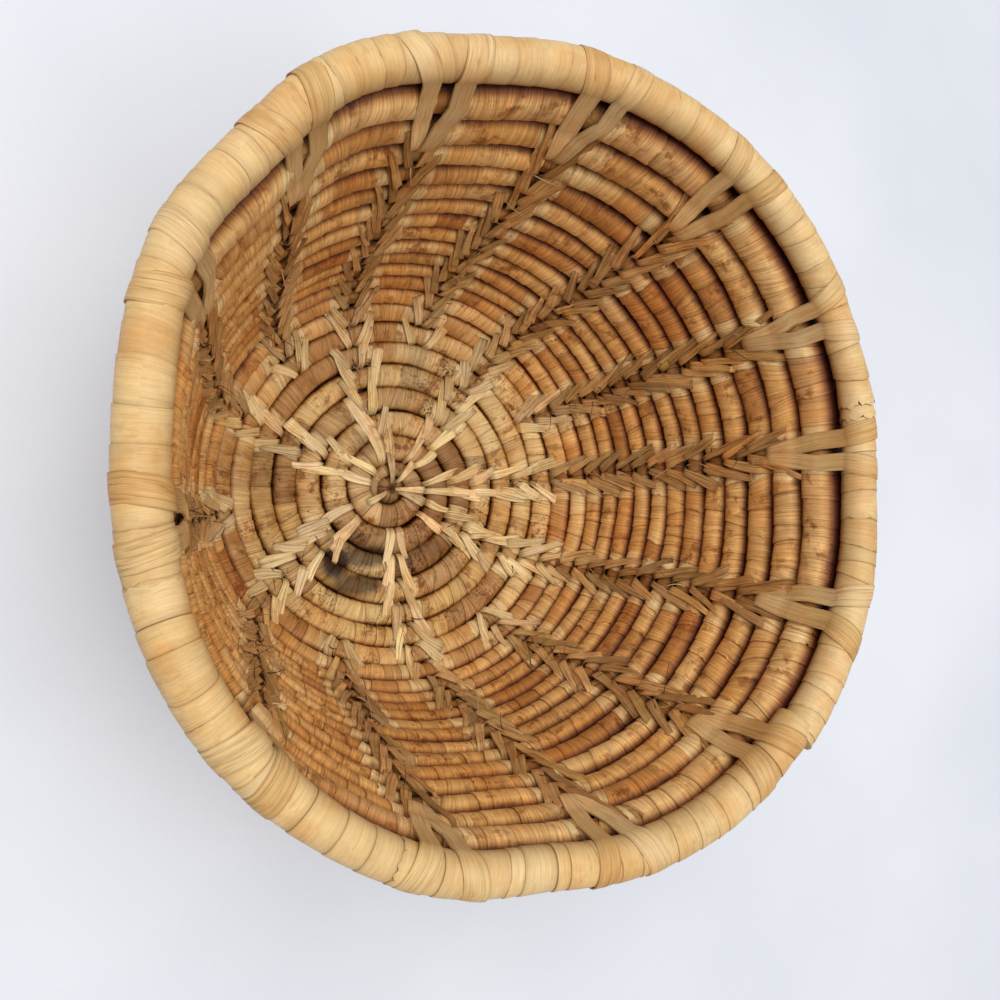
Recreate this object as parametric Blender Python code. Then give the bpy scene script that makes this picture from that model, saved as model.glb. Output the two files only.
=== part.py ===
"""Coiled basket: one wrapped coil wound from a knot in the floor up to the rim, held by split stitches.

Metres, +Z up. The origin is on the ground under the start knot. Rows are counted from the middle, so a
place on the wall is a row number and an azimuth, and the profile turns these into X, Y and Z.
"""
import bmesh
import bpy
import math
import numpy as np
from mathutils import Vector

# Coil: distance from one row to the next, at three places
PITCH_FLOOR = 0.0087
PITCH_WALL = 0.0071
PITCH_TOP = 0.0095
COIL_ROWS = 21
# Profile: a flat floor, a long turn-up and a straight wall that leans out
FLAT_ROWS = 3.3
TURN_UP_ROWS = 8.0
WALL_ANGLE = math.radians(78)
# Joints between the coil's nodes, in rows from the middle
FIRST_ROW = 0.2
FLOOR_END_ROW = 4.3
TURN_UP_END_ROW = 7.8
LOW_WALL_END_ROW = 11.8
# The last rows even out the spiral's climb, so that the rim is level
LEVEL_FROM_ROW = 17.0
LEVEL_POWER = 1.5
TAIL_AZIMUTH = 190.0
TAIL_LENGTH = 72.0
TAIL_TIP = 8.0
# Knot, rim and stitches
KNOT_RADIUS = 0.0042
KNOT_HEIGHT = 0.0068
KNOT_SIDES = 16
KNOT_OUTLINE = ((0.88, 0.0), (1.0, 0.18), (1.0, 0.62), (0.72, 0.93), (0.3, 1.0))
RIM_DIAMETER = 0.0089
RIM_JOINT_AZIMUTH = 45.0
RIM_STEP = 0.0011
RIM_STEP_FADE = 70.0
SPLINT_THICKNESS = 0.0009
SPLINT_LIFT = 0.0005
SPINE_WIDTH = 0.0016
BARB_REACH = 0.0058
BARB_REACH_SHARE = 0.16
BARB_RUN_ROWS = 1.7
BARB_ROOT_ROWS = 0.74
BARB_TIP_ROWS = 0.52
OUTER_SPLINT_WIDTH = 0.0032
OUTER_START_ROWS = 2
OUTER_LOWEST_ROW = 6
LASHING_WIDTH = 0.0048
LASHING_SPREAD = 0.0062
LASHING_WRAP = math.radians(64)
LASHING_BENDS = 2
LASHING_FOOT = 0.0076
LASHING_FORK = 0.0058
LASHING_CROWN = 0.0034
# Where each stitch row stands, in degrees clockwise seen from above, and its first row
STITCH_AZIMUTHS = (25, 52, 81, 109, 139, 171, 203, 228, 253, 279, 307, 333, 356)
STITCH_FIRST_ROWS = (2, 6, 3, 6, 2, 6, 3, 6, 2, 6, 3, 6, 4)
LEANING_STITCHES = 5
STITCH_LEAN = 9.0
STITCH_LEAN_ROWS = 9.0
# Clearances
COIL_GAP = 0.00052
END_GAP = 0.0004
SEAT_GAP = 0.0003
# Facets
POINTS_PER_TURN = 24
RIM_POINTS = 48
COIL_SIDES = 6
RIM_SIDES = 8
PROFILE_SAMPLES = 1200
GAP_SAMPLES = 4
PROFILE_SPARE_ROWS = 3
CUT_SHARE = 0.1
SHARP_ANGLE = math.radians(40)

STRAW = (0.52, 0.36, 0.16)
TAN = (0.47, 0.26, 0.09)
GOLDEN = (0.56, 0.33, 0.12)
CREAM = (0.72, 0.52, 0.27)
SPLINT_PALE = (0.50, 0.38, 0.20)
SPLINT_BROWN = (0.36, 0.24, 0.12)


def row_pitch(row):
    """Distance between rows along the profile: a parabola through the three driving pitches."""
    t = row / COIL_ROWS
    floor = PITCH_FLOOR * (1 - t) * (1 - 2 * t)
    wall = PITCH_WALL * 4 * t * (1 - t)
    top = PITCH_TOP * t * (2 * t - 1)
    return floor + wall + top


def row_slope(row):
    """Angle of the wall above level: none on the floor, WALL_ANGLE above the turn-up."""
    t = np.clip((row - FLAT_ROWS) / TURN_UP_ROWS, 0, 1)
    return WALL_ANGLE * t * t * (3 - 2 * t)


def running_sum(values, step):
    return np.concatenate([[0], np.cumsum((values[1:] + values[:-1]) * step / 2)])


ROWS = np.linspace(0, COIL_ROWS + PROFILE_SPARE_ROWS, PROFILE_SAMPLES)
ROW_STEP = ROWS[1] - ROWS[0]
ALONG = running_sum(row_pitch(ROWS), ROW_STEP)
RADIUS = running_sum(row_pitch(ROWS) * np.cos(row_slope(ROWS)), ROW_STEP)
HEIGHT = running_sum(row_pitch(ROWS) * np.sin(row_slope(ROWS)), ROW_STEP)

# Row number of the crease between the coil and the rim, at the azimuth opposite the coil's tail
HALF_TURN = 180.0
FULL_TURN = 360.0
CREASE_PHASE = 0.29
TOP_CREASE = COIL_ROWS + CREASE_PHASE + (TAIL_AZIMUTH - HALF_TURN) / FULL_TURN
TOP_ALONG = float(np.interp(TOP_CREASE, ROWS, ALONG))


def coil_azimuth(row):
    """Azimuth in degrees, clockwise from +X seen from above, where the coil's middle passes a row number."""
    return (row - 0.5 - CREASE_PHASE) * FULL_TURN


def turn_since_tail(azimuth):
    return ((azimuth - TAIL_AZIMUTH) % FULL_TURN) / FULL_TURN


def crease_along(row, azimuth):
    """Distance from the middle, along the profile, of the crease at a row number."""
    share = np.clip((row - LEVEL_FROM_ROW) / (TOP_CREASE - 0.5 - LEVEL_FROM_ROW), 0, 1) ** LEVEL_POWER
    passed = turn_since_tail(azimuth)
    tail = TAIL_LENGTH / FULL_TURN
    shift = 0.5 - passed
    if passed > 1 - tail:
        t = (passed - 1 + tail) / tail
        shift = (tail - 0.5) + (1 - tail) * t * t * (3 - 2 * t)
    along = float(np.interp(row, ROWS, ALONG)) + share * shift * PITCH_TOP
    return max(KNOT_RADIUS, min(along, TOP_ALONG))


def profile_at(along):
    """Radius, height and slope of the wall's middle surface at a distance along the profile."""
    row = np.interp(along, ALONG, ROWS)
    radius = float(np.interp(row, ROWS, RADIUS))
    height = float(np.interp(row, ROWS, HEIGHT))
    return radius, height, float(row_slope(row))


def coil_size(row):
    """Distance along the profile and tube radius of the coil where its middle passes a row number.

    The rows cross the profile at a slight slant and in straight segments, which brings them nearer together.
    """
    azimuth = coil_azimuth(row)
    low = crease_along(row - 0.5, azimuth)
    high = crease_along(row + 0.5, azimuth)
    along = (low + high) / 2
    slant = math.atan2(high - low, 2 * math.pi * profile_at(along)[0])
    spacing = (high - low) * math.cos(slant) * math.cos(math.pi / POINTS_PER_TURN)
    return along, (spacing - COIL_GAP) / 2


GROUND_LIFT = (PITCH_FLOOR - COIL_GAP) / 2 * (1 - 2 * CUT_SHARE)
CORNER_LIFT = OUTER_SPLINT_WIDTH / 2 * math.tan(math.pi / POINTS_PER_TURN)
RIM_SEGMENT = FULL_TURN / RIM_POINTS
HEX_FLAT = math.cos(math.pi / 6)


def place(azimuth, along, lift=0.0):
    """Point over the wall: lift is measured from the middle surface towards the inside of the basket."""
    radius, height, slope = profile_at(along)
    radius -= math.sin(slope) * lift
    height += math.cos(slope) * lift
    turn = -math.radians(azimuth)
    return Vector((radius * math.cos(turn), radius * math.sin(turn), height + GROUND_LIFT))


def facet_factor(azimuth, first_corner, points_per_turn):
    """How much nearer the axis a tube's straight segments run than the circle through their ends."""
    half_step = math.pi / points_per_turn
    offset = (math.radians(azimuth - first_corner) % (2 * half_step)) - half_step
    return math.cos(half_step) / math.cos(offset)


def coil_factor(azimuth):
    return facet_factor(azimuth, coil_azimuth(0), POINTS_PER_TURN)


def rim_factor(azimuth):
    return facet_factor(azimuth, RIM_JOINT_AZIMUTH - RIM_SEGMENT / 2, RIM_POINTS)


def material(name, colour, roughness=0.8):
    made = bpy.data.materials.new(name)
    made.use_nodes = True
    shader = made.node_tree.nodes["Principled BSDF"]
    shader.inputs["Base Color"].default_value = (*colour, 1)
    shader.inputs["Roughness"].default_value = roughness
    shader.inputs["Metallic"].default_value = 0.0
    return made


def clear_scene():
    for item in list(bpy.data.objects):
        bpy.data.objects.remove(item, do_unlink=True)


def link(name, data, colour):
    item = bpy.data.objects.new(name, data)
    bpy.context.scene.collection.objects.link(item)
    data.materials.append(material(name, colour))
    return item


def tube(name, stations, sides, colour):
    """Curve tube through stations of (point, radius, tilt), with closed ends."""
    curve = bpy.data.curves.new(name, "CURVE")
    curve.dimensions = "3D"
    curve.twist_mode = "Z_UP"
    curve.bevel_resolution = round(sides / 2) - 2
    curve.bevel_depth = 1.0
    curve.use_fill_caps = True
    spline = curve.splines.new("POLY")
    spline.points.add(len(stations) - 1)
    for point, (place_at, radius, tilt) in zip(spline.points, stations):
        point.co = (*place_at, 1)
        point.radius = radius
        point.tilt = tilt
    return link(name, curve, colour)


def coil_stations(start_row, end_row):
    """Stations of the wound coil. The ends lie halfway along a straight segment, square to it."""
    first = round((start_row - 0.5 - CREASE_PHASE) * POINTS_PER_TURN)
    last = round((end_row - 0.5 - CREASE_PHASE) * POINTS_PER_TURN)
    whole = []
    for index in range(first, last + 2):
        row = 0.5 + CREASE_PHASE + index / POINTS_PER_TURN
        along, radius = coil_size(row)
        whole.append((place(coil_azimuth(row), along), radius, profile_at(along)[2]))
    head = halfway(whole[0], whole[1])
    foot = halfway(whole[-1], whole[-2])
    return [head, *whole[1:-1], foot]


def least_gap(name, stations, points_per_turn):
    """Prints how near the tube comes to itself, on points at least half a turn apart."""
    places = []
    for (here, size, _), (there, next_size, _) in zip(stations, stations[1:]):
        for share in np.linspace(0, 1, GAP_SAMPLES, endpoint=False):
            places.append((*here.lerp(there, share), size + (next_size - size) * share))
    table = np.array(places)
    apart = points_per_turn * GAP_SAMPLES // 2
    gap = math.inf
    for index in range(len(table) - apart):
        rest = table[index + apart:]
        distance = np.linalg.norm(rest[:, :3] - table[index, :3], axis=1)
        gap = min(gap, float(np.min(distance - rest[:, 3] - table[index, 3])))
    print("least gap of %s to itself: %.2f mm" % (name, gap * 1000))


def halfway(outer, inner):
    """Station between two others, drawn back by half the gap that the coil's nodes keep."""
    middle = (outer[0] + inner[0]) / 2
    back = (inner[0] - outer[0]).normalized() * (END_GAP / 2)
    return middle + back, (outer[1] + inner[1]) / 2, (outer[2] + inner[2]) / 2


def wound_coil(name, start_row, end_row, colour):
    stations = coil_stations(start_row, end_row)
    least_gap(name, stations, POINTS_PER_TURN)
    return tube(name, stations, COIL_SIDES, colour)


def ground_cutter():
    """Block below the ground that trims the floor's rows flat."""
    reach = 2 * RADIUS[-1]
    mesh = bpy.data.meshes.new("ground_cutter")
    shape = bmesh.new()
    bmesh.ops.create_cube(shape, size=reach)
    bmesh.ops.translate(shape, verts=shape.verts, vec=(0, 0, -reach / 2))
    shape.to_mesh(mesh)
    shape.free()
    cutter = bpy.data.objects.new("ground_cutter", mesh)
    bpy.context.scene.collection.objects.link(cutter)
    cutter.hide_render = True
    cutter.display_type = "WIRE"
    return cutter


def stand_flat(curve_item, cutter):
    """Mesh object in place of a curve tube, with its underside trimmed flat on the ground."""
    graph = bpy.context.evaluated_depsgraph_get()
    mesh = bpy.data.meshes.new_from_object(curve_item.evaluated_get(graph))
    name = curve_item.name
    bpy.data.objects.remove(curve_item, do_unlink=True)
    item = bpy.data.objects.new(name, mesh)
    bpy.context.scene.collection.objects.link(item)
    cut = item.modifiers.new("ground", "BOOLEAN")
    cut.operation = "DIFFERENCE"
    cut.solver = "EXACT"
    cut.object = cutter


def closed_mesh(name, points, faces, colour, smooth=False):
    """Closed body from points and faces, with its faces turned outwards."""
    mesh = bpy.data.meshes.new(name)
    mesh.from_pydata(points, [], faces)
    shape = bmesh.new()
    shape.from_mesh(mesh)
    bmesh.ops.recalc_face_normals(shape, faces=shape.faces)
    shape.to_mesh(mesh)
    shape.free()
    if smooth:
        mesh.shade_smooth()
        mesh.set_sharp_from_angle(angle=SHARP_ANGLE)
    return link(name, mesh, colour)


def start_knot():
    """Small turned button where the coil begins: flat below, domed above."""
    points = []
    for share, level in KNOT_OUTLINE:
        for side in range(KNOT_SIDES):
            turn = 2 * math.pi * side / KNOT_SIDES
            reach = KNOT_RADIUS * share
            points.append((reach * math.cos(turn), reach * math.sin(turn), KNOT_HEIGHT * level))
    faces = [list(range(KNOT_SIDES))[::-1]]
    for ring in range(len(KNOT_OUTLINE) - 1):
        low = ring * KNOT_SIDES
        for side in range(KNOT_SIDES):
            after = (side + 1) % KNOT_SIDES
            faces.append((low + side, low + after, low + KNOT_SIDES + after, low + KNOT_SIDES + side))
    top = (len(KNOT_OUTLINE) - 1) * KNOT_SIDES
    faces.append([top + side for side in range(KNOT_SIDES)])
    return closed_mesh("start_knot", points, faces, STRAW, smooth=True)


def rim_offset(azimuth):
    """The rim's two ends meet with a small step, which fades along the rim on both sides."""
    ahead = max(0.0, azimuth - RIM_JOINT_AZIMUTH)
    behind = max(0.0, RIM_JOINT_AZIMUTH + FULL_TURN - azimuth)
    return RIM_STEP * (math.exp(-behind / RIM_STEP_FADE) - math.exp(-ahead / RIM_STEP_FADE))


def rim_centre(azimuth):
    along = TOP_ALONG + COIL_GAP / 2 + RIM_DIAMETER / 2
    return place(azimuth, along, -rim_offset(azimuth))


def rim_coil():
    """One thick turn on top of the wall. Its ends meet halfway along a straight segment."""
    whole = []
    for index in range(RIM_POINTS + 2):
        azimuth = RIM_JOINT_AZIMUTH + (index - 0.5) * RIM_SEGMENT
        whole.append((rim_centre(azimuth), RIM_DIAMETER / 2, WALL_ANGLE))
    head = halfway(whole[0], whole[1])
    foot = halfway(whole[-1], whole[-2])
    return tube("rim_coil", [head, *whole[1:-1], foot], RIM_SIDES, CREAM)


def drawn_in(point, factor):
    return Vector((point.x * factor, point.y * factor, point.z))


def crease_row(number, azimuth):
    """Row number, as crease_along counts it, of a numbered crease at an azimuth."""
    signed = (azimuth - TAIL_AZIMUTH) % FULL_TURN + TAIL_AZIMUTH - FULL_TURN
    return number + CREASE_PHASE + signed / FULL_TURN


def wall_lift(number, azimuth):
    """Height of the coil's inner face over the middle surface in a numbered row."""
    row = crease_row(number - 0.5, azimuth)
    low = crease_along(row - 0.5, azimuth)
    high = crease_along(row + 0.5, azimuth)
    return HEX_FLAT * (high - low - COIL_GAP) / 2


def stitch_point(azimuth, number, aside, side, lift):
    """Point on a stitch: number is a crease number with its fraction, aside a distance along the coil."""
    lower = max(1, math.floor(number))
    reach = max(wall_lift(lower, azimuth), wall_lift(lower + 1, azimuth)) if lower < COIL_ROWS else \
        wall_lift(COIL_ROWS, azimuth)
    along = crease_along(crease_row(number, azimuth), azimuth)
    radius = profile_at(along)[0]
    turned = azimuth + math.degrees(aside / radius)
    seat = SEAT_GAP if side > 0 else SEAT_GAP + CORNER_LIFT
    return drawn_in(place(turned, along, side * (reach + seat + lift)), coil_factor(turned))


def stitch_azimuth(index, number):
    """The stitch rows lean on the floor and run straight up the wall."""
    lean = max(0.0, 1 - number / STITCH_LEAN_ROWS) if index < LEANING_STITCHES else 0.0
    return STITCH_AZIMUTHS[index] + STITCH_LEAN * lean


def stitch_numbers(index):
    """Creases where the stitches of a row begin, up to the last whose tips stay below the lashing."""
    limit = TOP_ALONG - LASHING_FOOT - SEAT_GAP
    azimuth = STITCH_AZIMUTHS[index]
    reach = BARB_RUN_ROWS + BARB_TIP_ROWS
    numbers = range(STITCH_FIRST_ROWS[index], COIL_ROWS)
    return [number for number in numbers
            if crease_along(crease_row(number + reach, azimuth), azimuth) < limit]


class Splint:
    """Thin strip made from pairs of points, each a lower point and the upper one over it."""

    def __init__(self):
        self.points = []
        self.faces = []

    def pair(self, lower, upper):
        self.points += [lower, upper]
        return len(self.points) - 2

    def sheet(self, *corners):
        """Lower and upper face between pairs, in triangles, so that a twisted strip has one shape."""
        first = corners[0]
        for a, b in zip(corners[1:], corners[2:]):
            self.faces.append((first, a, b))
            self.faces.append((b + 1, a + 1, first + 1))

    def wall(self, a, b):
        """Edge of the strip from one pair to the next."""
        self.faces.append((a, b, b + 1))
        self.faces.append((a, b + 1, a + 1))


def inner_stitch_row(index):
    """Chain of V stitches on the inner face: a narrow spine with a pair of barbs for each row."""
    splint = Splint()

    def pair(number, aside, rise):
        azimuth = stitch_azimuth(index, number)
        lower = stitch_point(azimuth, number, aside, 1, 0.0)
        return splint.pair(lower, stitch_point(azimuth, number, aside, 1, SPLINT_THICKNESS + rise))

    def barb_reach(number):
        azimuth = STITCH_AZIMUTHS[index]
        radius = profile_at(crease_along(crease_row(number, azimuth), azimuth))[0]
        return min(BARB_REACH, radius * BARB_REACH_SHARE)

    edge = SPINE_WIDTH / 2
    before = None
    for number in stitch_numbers(index):
        left_low = pair(number, -edge, 0)
        right_low = pair(number, edge, 0)
        left_high = pair(number + BARB_ROOT_ROWS, -edge, 0)
        right_high = pair(number + BARB_ROOT_ROWS, edge, 0)
        reach = barb_reach(number)
        # Each V on the floor is wider than the one before it, so its barbs stop short of the next
        run = BARB_RUN_ROWS * (reach - edge) / (barb_reach(number + 1) - edge)
        tips = [pair(number + rows, way * reach, SPLINT_LIFT)
                for way in (-1, 1) for rows in (run, run + BARB_TIP_ROWS)]
        splint.sheet(left_low, right_low, right_high, left_high)
        splint.sheet(left_low, left_high, tips[1], tips[0])
        splint.sheet(right_low, tips[2], tips[3], right_high)
        for a, b in ((left_low, tips[0]), (tips[0], tips[1]), (tips[1], left_high)):
            splint.wall(a, b)
        for a, b in ((right_low, tips[2]), (tips[2], tips[3]), (tips[3], right_high)):
            splint.wall(b, a)
        if before is None:
            splint.wall(right_low, left_low)
        else:
            splint.sheet(before[0], before[1], right_low, left_low)
            splint.wall(before[0], left_low)
            splint.wall(right_low, before[1])
        before = (left_high, right_high)
    splint.wall(before[0], before[1])
    name = "stitch_row_%02d" % (index + 1)
    return closed_mesh(name, splint.points, splint.faces, SPLINT_BROWN)


def outer_stitch_row(index):
    """The same stitches on the outer face, from above the floor: a flat ladder that steps up the rows."""
    first = max(STITCH_FIRST_ROWS[index] + OUTER_START_ROWS, OUTER_LOWEST_ROW)
    splint = Splint()

    def pair(number, aside):
        azimuth = stitch_azimuth(index, number)
        lower = stitch_point(azimuth, number + 0.5, aside, -1, 0.0)
        return splint.pair(lower, stitch_point(azimuth, number + 0.5, aside, -1, SPLINT_THICKNESS))

    before = None
    for number in range(first, COIL_ROWS):
        left = pair(number, -OUTER_SPLINT_WIDTH / 2)
        right = pair(number, OUTER_SPLINT_WIDTH / 2)
        if before is None:
            splint.wall(left, right)
        else:
            splint.sheet(before[0], before[1], right, left)
            splint.wall(left, before[0])
            splint.wall(before[1], right)
        before = (left, right)
    splint.wall(before[1], before[0])
    name = "outer_stitch_row_%02d" % (index + 1)
    return closed_mesh(name, splint.points, splint.faces, SPLINT_BROWN)


def rim_lashing(index):
    """Two broad strips that part over the top row and lie on the inner side of the rim."""
    azimuth = STITCH_AZIMUTHS[index]
    centre = rim_centre((azimuth - RIM_JOINT_AZIMUTH) % FULL_TURN + RIM_JOINT_AZIMUTH)
    radius = math.hypot(centre.x, centre.y)
    lift = max(wall_lift(COIL_ROWS - 1, azimuth), wall_lift(COIL_ROWS, azimuth)) + SEAT_GAP
    top_stitch = stitch_numbers(index)[-1] + BARB_ROOT_ROWS
    neck = crease_along(crease_row(top_stitch, azimuth), azimuth) + SEAT_GAP
    foot = TOP_ALONG - LASHING_FOOT
    fork = TOP_ALONG - LASHING_FORK
    crown = TOP_ALONG - LASHING_CROWN
    step = LASHING_WRAP / LASHING_BENDS
    rim_reach = (RIM_DIAMETER / 2 + SEAT_GAP) / math.cos(step / 2)
    splint = Splint()

    def on_wall(along, aside):
        turned = azimuth + math.degrees(aside / radius)
        return splint.pair(*[drawn_in(place(turned, along, lift + rise), coil_factor(turned))
                             for rise in (0.0, SPLINT_THICKNESS)])

    def on_rim(bend, aside):
        turned = azimuth + math.degrees(aside / radius)
        turn = -math.radians(turned)
        tip = WALL_ANGLE - bend * step
        ends = []
        for rise in (0.0, SPLINT_THICKNESS):
            reach = radius - (rim_reach + rise) * math.sin(tip)
            upward = (rim_reach + rise) * math.cos(tip)
            point = Vector((reach * math.cos(turn), reach * math.sin(turn), centre.z + upward))
            ends.append(drawn_in(point, rim_factor(turned)))
        return splint.pair(*ends)

    half = LASHING_WIDTH / 2
    narrow = SPINE_WIDTH / 2 - SEAT_GAP
    left_neck = on_wall(neck, -narrow)
    right_neck = on_wall(neck, narrow)
    left_foot = on_wall(foot, -half)
    right_foot = on_wall(foot, half)
    middle = on_wall(fork, 0)
    splint.wall(left_neck, right_neck)
    splint.sheet(left_neck, right_neck, right_foot, left_foot)
    splint.wall(left_foot, left_neck)
    splint.wall(right_neck, right_foot)
    splint.sheet(left_foot, right_foot, middle)
    for way, outer in ((-1, left_foot), (1, right_foot)):
        inner = middle
        stations = [(on_wall, crown), *((on_rim, bend) for bend in range(LASHING_BENDS + 1))]
        for count, (surface, station) in enumerate(stations):
            share = (count + 1) / len(stations)
            aside = way * LASHING_SPREAD * share
            next_outer = surface(station, aside + way * half)
            next_inner = surface(station, aside - way * half * share)
            splint.sheet(outer, inner, next_inner, next_outer)
            splint.wall(outer, next_outer)
            splint.wall(next_inner, inner)
            outer, inner = next_outer, next_inner
        splint.wall(outer, inner)
    name = "rim_lashing_%02d" % (index + 1)
    return closed_mesh(name, splint.points, splint.faces, SPLINT_PALE)


def build():
    clear_scene()
    start_knot()
    floor = wound_coil("base_coil", FIRST_ROW, FLOOR_END_ROW, STRAW)
    stand_flat(floor, ground_cutter())
    wound_coil("turn_up_coil", FLOOR_END_ROW, TURN_UP_END_ROW, TAN)
    wound_coil("low_wall_coil", TURN_UP_END_ROW, LOW_WALL_END_ROW, TAN)
    last_row = TOP_CREASE + 0.5 - TAIL_TIP / FULL_TURN
    wound_coil("wall_coil", LOW_WALL_END_ROW, last_row, GOLDEN)
    rim_coil()
    for index in range(len(STITCH_AZIMUTHS)):
        inner_stitch_row(index)
        outer_stitch_row(index)
        rim_lashing(index)


build()
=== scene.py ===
"""Looks of the coiled basket: wrapped grass coil, split stitches and a wrapped rim, built around the frame.

Metres, +Z up. A place on the basket is an azimuth, in degrees clockwise from +X seen from above, a distance
along the wall's profile from the middle of the floor, and a lift towards the inside.
"""
import math

import bmesh
import bpy
import numpy as np
from mathutils import Matrix, Vector


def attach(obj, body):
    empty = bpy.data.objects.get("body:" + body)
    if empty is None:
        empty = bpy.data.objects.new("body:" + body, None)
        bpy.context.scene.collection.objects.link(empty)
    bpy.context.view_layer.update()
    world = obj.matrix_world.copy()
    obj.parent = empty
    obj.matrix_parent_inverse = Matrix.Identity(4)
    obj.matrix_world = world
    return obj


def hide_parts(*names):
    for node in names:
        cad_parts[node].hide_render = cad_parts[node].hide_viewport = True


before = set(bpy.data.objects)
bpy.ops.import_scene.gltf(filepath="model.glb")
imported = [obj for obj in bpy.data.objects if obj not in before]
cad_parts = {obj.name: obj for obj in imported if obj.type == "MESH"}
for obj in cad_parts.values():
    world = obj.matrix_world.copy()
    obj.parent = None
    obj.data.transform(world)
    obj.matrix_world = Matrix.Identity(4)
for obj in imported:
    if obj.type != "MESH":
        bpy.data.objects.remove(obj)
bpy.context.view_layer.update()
MM = 0.001
TURN = 360.0

# The coil's driving sizes, as in the frame
PITCH_FLOOR = 0.0087
PITCH_WALL = 0.0071
PITCH_TOP = 0.0095
COIL_ROWS = 21
FLAT_ROWS = 3.3
TURN_UP_ROWS = 8.0
WALL_ANGLE = math.radians(78)
FIRST_ROW = 0.2
FLOOR_END_ROW = 4.3
TURN_UP_END_ROW = 7.8
LOW_WALL_END_ROW = 11.8
LEVEL_FROM_ROW = 17.0
LEVEL_POWER = 1.5
TAIL_AZIMUTH = 190.0
TAIL_LENGTH = 72.0
TAIL_TIP = 8.0
KNOT_RADIUS = 0.0042
KNOT_HEIGHT = 0.0068
RIM_DIAMETER = 0.0089
RIM_JOINT_AZIMUTH = 45.0
RIM_STEP = 0.0011
RIM_STEP_FADE = 70.0
CREASE_PHASE = 0.29
COIL_GAP = 0.00052
GROUND_LIFT = 0.4 * (PITCH_FLOOR - COIL_GAP)
STITCH_AZIMUTHS = (25, 52, 81, 109, 139, 171, 203, 228, 253, 279, 307, 333, 356)
STITCH_FIRST_ROWS = (2, 6, 3, 6, 2, 6, 3, 6, 2, 6, 3, 6, 4)
LEANING_STITCHES = 5
STITCH_LEAN = 9.0
STITCH_LEAN_ROWS = 9.0
OUTER_LOWEST_ROW = 6
LASHING_FOOT = 0.0076

# Points along the wall's profile, the coil and the rim, and along each kind of strip
PROFILE_POINTS = 1200
COIL_POINTS = 8000
RIM_POINTS = 2000
ARM_POINTS = 14
LOOSE_POINTS = 6
OUTER_POINTS = 10
LASHING_POINTS = 12
LASHING_RIM_POINTS = 24
KNOT_STRIP_POINTS = 12
DOME_RINGS = 9

# The row numbers between which the floor's looks pass into the wall's, and the coil into its top row
WALL_LOOKS = (4.5, 9.0)
TOP_ROW = (20.0, 20.5)

# Camera, at the photograph's angle
CAMERA_PLACE = (-0.09507, -0.01549, 0.29586)
CAMERA_LOOK = (0.41594, 0.03792, -0.9086)
CAMERA_UP = (-0.00631, 0.99923, 0.03882)
CAMERA_LENS = 34.287

# Where the hand-made rim and upper wall stand out or in: azimuth, half width in degrees, millimetres
RIM_BUMPS = ((2, 12, -2.5), (42, 16, 1.0), (64, 15, 1.7), (94, 9, -1.3), (110, 12, 0.9), (182, 20, -2.4),
             (207, 10, 1.1), (222, 10, -0.8), (240, 14, 2.0), (259, 11, -1.3), (306, 20, 0.9), (338, 9, -0.8))
BUMP_FROM_ROW = 13.0
# Where the rim is thicker or thinner, in the same units
RIM_SWELLS = ((66, 16, 0.45), (168, 36, 0.7), (238, 24, 0.3), (350, 26, -0.45))

# Colours as a screen shows them, out of 255
FLOOR_STRIPS = ((216, 178, 116), (204, 162, 98), (222, 188, 128), (176, 132, 80), (150, 108, 64),
                (208, 170, 116))
WALL_STRIPS = ((232, 178, 108), (222, 162, 92), (240, 192, 124), (210, 148, 82), (188, 124, 64),
               (226, 172, 104))
RIM_STRIPS = ((211, 178, 124), (207, 170, 115), (215, 183, 133), (200, 161, 104), (209, 174, 120))
PALE_FLOOR = (232, 206, 152)
PALE_WALL = (240, 208, 150)
TOP_ROW_STRIP = (236, 196, 138)
STITCH_FLOOR = (238, 211, 158)
STITCH_TURN = (216, 174, 116)
STITCH_WALL = (206, 154, 94)
LASHING = (230, 190, 132)
KNOT_BROWN = (176, 134, 84)
LOOSE_DARK = (110, 74, 46)
LOOSE_PALE = (220, 184, 138)
GROUND_DIM = (210, 214, 223)
GROUND_LIGHT = (224, 227, 235)

# What darkens a fibre: the shares of red, green and blue that it leaves
WARM_TINT = (0.92, 0.74, 0.56)
BLOTCH_TINT = (0.46, 0.32, 0.20)
DOT_TINT = (0.20, 0.12, 0.08)
HAIR_TINT = (0.42, 0.26, 0.15)
# The edge tint darkens the strips' edges and seams, which is partly painted shade
EDGE_AND_SHADE_TINT = (0.20, 0.11, 0.06)
SPECKLED_TINT = (0.74, 0.77, 0.8)
# Painted shade in the creases and along the stitch rows turns brown as it darkens: powers for red, green and
# blue
SHADE_WARMTH = np.array((1.0, 1.5, 2.1))
FIBRE_GLOSS = 0.26
FIBRE_RELIEF = 0.0003

# How far the ground lies under the flat underside
GROUND_DROP = 0.2 * MM
SKY = (0.97, 0.985, 1.0, 1)
WORLD_LIGHT = 0.44
# Each lamp's name, place, width, watts and colour
LAMPS = (("window", (-0.22, 0.28, 1.15), 0.9, 8.6, (1.0, 0.985, 0.96)),
         ("fill", (0.12, -0.22, 1.2), 0.8, 4.9, (1.0, 0.985, 0.96)))

rng = np.random.default_rng(7)


def row_pitch(row):
    t = row / COIL_ROWS
    return PITCH_FLOOR * (1 - t) * (1 - 2 * t) + PITCH_WALL * 4 * t * (1 - t) + PITCH_TOP * t * (2 * t - 1)


def row_slope(row):
    t = np.clip((row - FLAT_ROWS) / TURN_UP_ROWS, 0, 1)
    return WALL_ANGLE * t * t * (3 - 2 * t)


def running_sum(values, step):
    return np.concatenate([[0], np.cumsum((values[1:] + values[:-1]) * step / 2)])


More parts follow.
